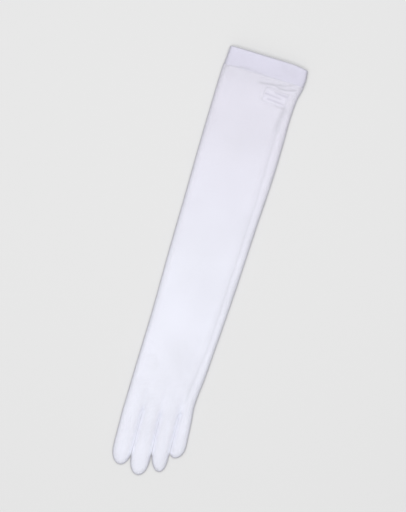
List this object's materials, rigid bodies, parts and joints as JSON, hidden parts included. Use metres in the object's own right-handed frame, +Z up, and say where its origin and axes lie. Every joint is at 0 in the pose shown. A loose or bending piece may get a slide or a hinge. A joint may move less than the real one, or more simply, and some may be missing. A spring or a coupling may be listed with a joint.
{
  "type": "long tulle glove",
  "caption": "Long sheer white tulle dress glove, lying flat palm down with its thumb folded under, open at a turned hem, with a bare care label inside.",
  "frame": {"origin": "on the surface the glove lies on, under the middle of the box it fills", "axes": "+Y from the fingertips to the open mouth, +Z up from the palm to the back of the hand, +X towards the little finger's side"},
  "size_m": [0.1042, 0.542, 0.0116],
  "materials": {
    "tulle": "fine soft sheer net, matt",
    "hem_tulle": "the same net turned over and stitched",
    "label_tape": "woven satin tape"
  },
  "bodies": {
    "root": {"back_panel": "tulle", "palm_panel": "tulle", "thumb": "tulle", "hem_band": "hem_tulle", "care_label": "label_tape"}
  },
  "joints": []
}
